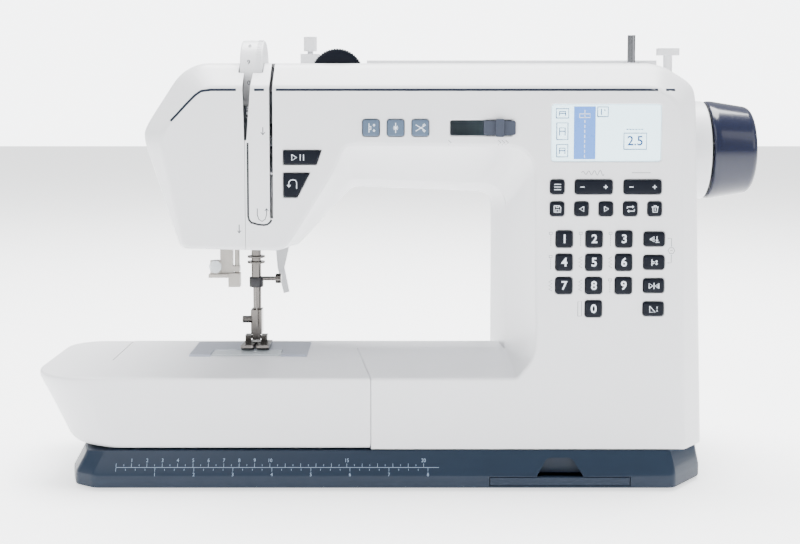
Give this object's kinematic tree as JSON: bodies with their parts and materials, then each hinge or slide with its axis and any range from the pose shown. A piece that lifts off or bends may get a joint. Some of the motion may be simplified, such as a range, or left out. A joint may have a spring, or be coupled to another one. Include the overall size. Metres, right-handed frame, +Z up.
{
  "type": "sewing machine",
  "caption": "Free-arm electronic sewing machine with keypad panel, harp space, slide-on accessory tray, handwheel, top dials and a drawer in its base.",
  "frame": {"origin": "Centre of the bounding box in plan, at the table under the rubber feet.", "axes": "+Z up, the panel faces -Y, the handwheel is on +X."},
  "size_m": [0.495, 0.185, 0.3],
  "materials": {
    "white_plastic": "satin moulded ABS",
    "navy_plastic": "glossy dark navy",
    "slate_plastic": "satin slate blue",
    "key_plastic": "satin navy keycap",
    "bluegrey_plastic": "satin blue grey",
    "steel": "brushed",
    "chrome": "polished",
    "cast_frame": "cast",
    "rubber": "matt",
    "clear_plastic": "clear",
    "screen": "lit display",
    "black_plastic": "matt"
  },
  "bodies": {
    "body": {"base_pan": "slate_plastic", "rubber_feet": "rubber", "front_cover": "white_plastic", "rear_cover": "white_plastic", "head_cover": "white_plastic", "free_arm": "white_plastic", "needle_plate": "steel", "chassis": "cast_frame", "motor": "cast_frame", "drive_belt": "rubber", "winder_fittings": "white_plastic", "lcd_screen": "screen"},
    "drive": {"main_shaft": "steel", "handwheel": "navy_plastic"},
    "needle_bar": {"needle_bar": "chrome"},
    "take_up_lever": {"take_up_lever": "chrome"},
    "presser_bar": {"presser_bar": "chrome"},
    "presser_foot": {"presser_foot": "chrome"},
    "presser_lifter": {"presser_lifter": "white_plastic"},
    "feed_dogs": {"feed_dogs": "steel"},
    "rotary_hook": {"rotary_hook": "steel"},
    "bobbin": {"bobbin": "clear_plastic"},
    "motor_pulley": {"motor_pulley": "steel"},
    "bobbin_cover": {"bobbin_cover": "clear_plastic"},
    "needle_threader": {"needle_threader": "bluegrey_plastic"},
    "tension_dial": {"tension_dial": "white_plastic"},
    "pressure_dial": {"pressure_dial": "navy_plastic"},
    "winder_spindle": {"winder_spindle": "chrome"},
    "carry_handle": {"carry_handle": "white_plastic"},
    "speed_slider": {"speed_slider": "bluegrey_plastic"},
    "accessory_tray": {"accessory_tray": "white_plastic"},
    "reference_drawer": {"reference_drawer": "slate_plastic"},
    "power_switch": {"power_switch": "black_plastic"},
    "key_0": {"key_0": "key_plastic"},
    "key_1": {"key_1": "key_plastic"},
    "key_2": {"key_2": "key_plastic"},
    "key_3": {"key_3": "key_plastic"},
    "key_4": {"key_4": "key_plastic"},
    "key_5": {"key_5": "key_plastic"},
    "key_6": {"key_6": "key_plastic"},
    "key_7": {"key_7": "key_plastic"},
    "key_8": {"key_8": "key_plastic"},
    "key_9": {"key_9": "key_plastic"},
    "key_left": {"key_left": "key_plastic"},
    "key_right": {"key_right": "key_plastic"},
    "key_mirror": {"key_mirror": "key_plastic"},
    "key_clear": {"key_clear": "key_plastic"},
    "key_store": {"key_store": "key_plastic"},
    "key_help": {"key_help": "key_plastic"},
    "key_tension": {"key_tension": "key_plastic"},
    "key_info": {"key_info": "key_plastic"},
    "key_set": {"key_set": "key_plastic"},
    "key_menu": {"key_menu": "key_plastic"},
    "key_width": {"key_width": "key_plastic"},
    "key_length": {"key_length": "key_plastic"},
    "key_needle": {"key_needle": "bluegrey_plastic"},
    "key_tieoff": {"key_tieoff": "bluegrey_plastic"},
    "key_cut": {"key_cut": "bluegrey_plastic"},
    "start_stop_key": {"start_stop_key": "key_plastic"},
    "reverse_key": {"reverse_key": "key_plastic"}
  },
  "joints": [
    {"name": "handwheel_spin", "type": "hinge", "parent": "body", "child": "drive", "pos_m": [0.215, 0.01, 0.218], "axis": [1, 0, 0], "continuous": true},
    {"name": "needle_bar_slide", "type": "slide", "parent": "body", "child": "needle_bar", "axis": [0, 0, -1], "range_m": [0, 0.031]},
    {"name": "take_up_swing", "type": "hinge", "parent": "body", "child": "take_up_lever", "pos_m": [-0.102, -0.025, 0.225], "axis": [1, 0, 0], "range_deg": [0, 36]},
    {"name": "presser_lifter_turn", "type": "hinge", "parent": "body", "child": "presser_lifter", "pos_m": [-0.09, 0.036, 0.1515], "axis": [0, -1, 0], "range_deg": [0, 30]},
    {"name": "presser_bar_lift", "type": "slide", "parent": "body", "child": "presser_bar", "axis": [0, 0, 1], "range_m": [0, 0.0066]},
    {"name": "presser_foot_tilt", "type": "hinge", "parent": "presser_bar", "child": "presser_foot", "pos_m": [-0.107, 0.018, 0.0809], "axis": [-1, 0, 0], "range_deg": [0, 4]},
    {"name": "carry_handle_turn", "type": "hinge", "parent": "body", "child": "carry_handle", "pos_m": [0.08, 0.052, 0.274], "axis": [-1, 0, 0], "range_deg": [0, 90]},
    {"name": "accessory_tray_slide", "type": "slide", "parent": "body", "child": "accessory_tray", "axis": [-1, 0, 0], "range_m": [0, 0.185]},
    {"name": "reference_drawer_slide", "type": "slide", "parent": "body", "child": "reference_drawer", "axis": [0, -1, 0], "range_m": [0, 0.1]},
    {"name": "bobbin_cover_slide", "type": "slide", "parent": "body", "child": "bobbin_cover", "axis": [0, -1, 0], "range_m": [0, 0.02]},
    {"name": "needle_threader_slide", "type": "slide", "parent": "body", "child": "needle_threader", "axis": [0, 0, -1], "range_m": [0, 0.022]},
    {"name": "feed_dogs_slide", "type": "slide", "parent": "body", "child": "feed_dogs", "axis": [0, 1, 0], "range_m": [-0.0018, 0.0018]},
    {"name": "rotary_hook_spin", "type": "hinge", "parent": "body", "child": "rotary_hook", "pos_m": [-0.112, -0.008, 0.05], "axis": [0, 0, 1], "continuous": true},
    {"name": "bobbin_spin", "type": "hinge", "parent": "body", "child": "bobbin", "pos_m": [-0.112, -0.008, 0.055], "axis": [0, 0, 1], "continuous": true},
    {"name": "motor_spin", "type": "hinge", "parent": "body", "child": "motor_pulley", "pos_m": [0.16, 0.05, 0.08], "axis": [1, 0, 0], "continuous": true},
    {"name": "tension_dial_turn", "type": "hinge", "parent": "body", "child": "tension_dial", "pos_m": [-0.1001, -0.05, 0.2716], "axis": [1, 0, 0], "range_deg": [-150, 150]},
    {"name": "pressure_dial_turn", "type": "hinge", "parent": "body", "child": "pressure_dial", "pos_m": [-0.0445, -0.0545, 0.2705], "axis": [0, 1, 0], "range_deg": [-90, 90]},
    {"name": "winder_spindle_spin", "type": "hinge", "parent": "body", "child": "winder_spindle", "pos_m": [0.162, 0.008, 0.27], "axis": [0, 0, 1], "continuous": true},
    {"name": "speed_slider_slide", "type": "slide", "parent": "body", "child": "speed_slider", "axis": [-1, 0, 0], "range_m": [0, 0.019]},
    {"name": "power_switch_rock", "type": "hinge", "parent": "body", "child": "power_switch", "pos_m": [0.194, 0.04, 0.07], "axis": [0, -1, 0], "range_deg": [0, 8]},
    {"name": "key_0_press", "type": "slide", "parent": "body", "child": "key_0", "axis": [0, 1, 0], "range_m": [0, 0.0012], "stiffness_N_per_m": 200},
    {"name": "key_1_press", "type": "slide", "parent": "body", "child": "key_1", "axis": [0, 1, 0], "range_m": [0, 0.0012], "stiffness_N_per_m": 200},
    {"name": "key_2_press", "type": "slide", "parent": "body", "child": "key_2", "axis": [0, 1, 0], "range_m": [0, 0.0012], "stiffness_N_per_m": 200},
    {"name": "key_3_press", "type": "slide", "parent": "body", "child": "key_3", "axis": [0, 1, 0], "range_m": [0, 0.0012], "stiffness_N_per_m": 200},
    {"name": "key_4_press", "type": "slide", "parent": "body", "child": "key_4", "axis": [0, 1, 0], "range_m": [0, 0.0012], "stiffness_N_per_m": 200},
    {"name": "key_5_press", "type": "slide", "parent": "body", "child": "key_5", "axis": [0, 1, 0], "range_m": [0, 0.0012], "stiffness_N_per_m": 200},
    {"name": "key_6_press", "type": "slide", "parent": "body", "child": "key_6", "axis": [0, 1, 0], "range_m": [0, 0.0012], "stiffness_N_per_m": 200},
    {"name": "key_7_press", "type": "slide", "parent": "body", "child": "key_7", "axis": [0, 1, 0], "range_m": [0, 0.0012], "stiffness_N_per_m": 200},
    {"name": "key_8_press", "type": "slide", "parent": "body", "child": "key_8", "axis": [0, 1, 0], "range_m": [0, 0.0012], "stiffness_N_per_m": 200},
    {"name": "key_9_press", "type": "slide", "parent": "body", "child": "key_9", "axis": [0, 1, 0], "range_m": [0, 0.0012], "stiffness_N_per_m": 200},
    {"name": "key_left_press", "type": "slide", "parent": "body", "child": "key_left", "axis": [0, 1, 0], "range_m": [0, 0.0012], "stiffness_N_per_m": 200},
    {"name": "key_right_press", "type": "slide", "parent": "body", "child": "key_right", "axis": [0, 1, 0], "range_m": [0, 0.0012], "stiffness_N_per_m": 200},
    {"name": "key_mirror_press", "type": "slide", "parent": "body", "child": "key_mirror", "axis": [0, 1, 0], "range_m": [0, 0.0012], "stiffness_N_per_m": 200},
    {"name": "key_clear_press", "type": "slide", "parent": "body", "child": "key_clear", "axis": [0, 1, 0], "range_m": [0, 0.0012], "stiffness_N_per_m": 200},
    {"name": "key_store_press", "type": "slide", "parent": "body", "child": "key_store", "axis": [0, 1, 0], "range_m": [0, 0.0012], "stiffness_N_per_m": 200},
    {"name": "key_help_press", "type": "slide", "parent": "body", "child": "key_help", "axis": [0, 1, 0], "range_m": [0, 0.0012], "stiffness_N_per_m": 200},
    {"name": "key_tension_press", "type": "slide", "parent": "body", "child": "key_tension", "axis": [0, 1, 0], "range_m": [0, 0.0012], "stiffness_N_per_m": 200},
    {"name": "key_info_press", "type": "slide", "parent": "body", "child": "key_info", "axis": [0, 1, 0], "range_m": [0, 0.0012], "stiffness_N_per_m": 200},
    {"name": "key_set_press", "type": "slide", "parent": "body", "child": "key_set", "axis": [0, 1, 0], "range_m": [0, 0.0012], "stiffness_N_per_m": 200},
    {"name": "key_menu_press", "type": "slide", "parent": "body", "child": "key_menu", "axis": [0, 1, 0], "range_m": [0, 0.0012], "stiffness_N_per_m": 200},
    {"name": "key_width_rock", "type": "hinge", "parent": "body", "child": "key_width", "pos_m": [0.122, -0.083, 0.198], "axis": [0, 0, 1], "range_deg": [-4, 4], "stiffness_Nm_per_rad": 0.2},
    {"name": "key_length_rock", "type": "hinge", "parent": "body", "child": "key_length", "pos_m": [0.1535, -0.083, 0.198], "axis": [0, 0, 1], "range_deg": [-4, 4], "stiffness_Nm_per_rad": 0.2},
    {"name": "key_needle_press", "type": "slide", "parent": "body", "child": "key_needle", "axis": [0, 1, 0], "range_m": [0, 0.0012], "stiffness_N_per_m": 200},
    {"name": "key_tieoff_press", "type": "slide", "parent": "body", "child": "key_tieoff", "axis": [0, 1, 0], "range_m": [0, 0.0012], "stiffness_N_per_m": 200},
    {"name": "key_cut_press", "type": "slide", "parent": "body", "child": "key_cut", "axis": [0, 1, 0], "range_m": [0, 0.0012], "stiffness_N_per_m": 200},
    {"name": "start_stop_key_press", "type": "slide", "parent": "body", "child": "start_stop_key", "axis": [0, 1, 0], "range_m": [0, 0.0012], "stiffness_N_per_m": 200},
    {"name": "reverse_key_press", "type": "slide", "parent": "body", "child": "reverse_key", "axis": [0, 1, 0], "range_m": [0, 0.0012], "stiffness_N_per_m": 200}
  ],
  "couplings": [
    {"joint": "motor_spin", "follows": "handwheel_spin", "ratio": 2.5},
    {"joint": "rotary_hook_spin", "follows": "handwheel_spin", "ratio": 2},
    {"joint": "take_up_swing", "follows": "needle_bar_slide", "rad_per_m": 20.25},
    {"joint": "presser_bar_lift", "follows": "presser_lifter_turn", "m_per_rad": 0.01145}
  ]
}
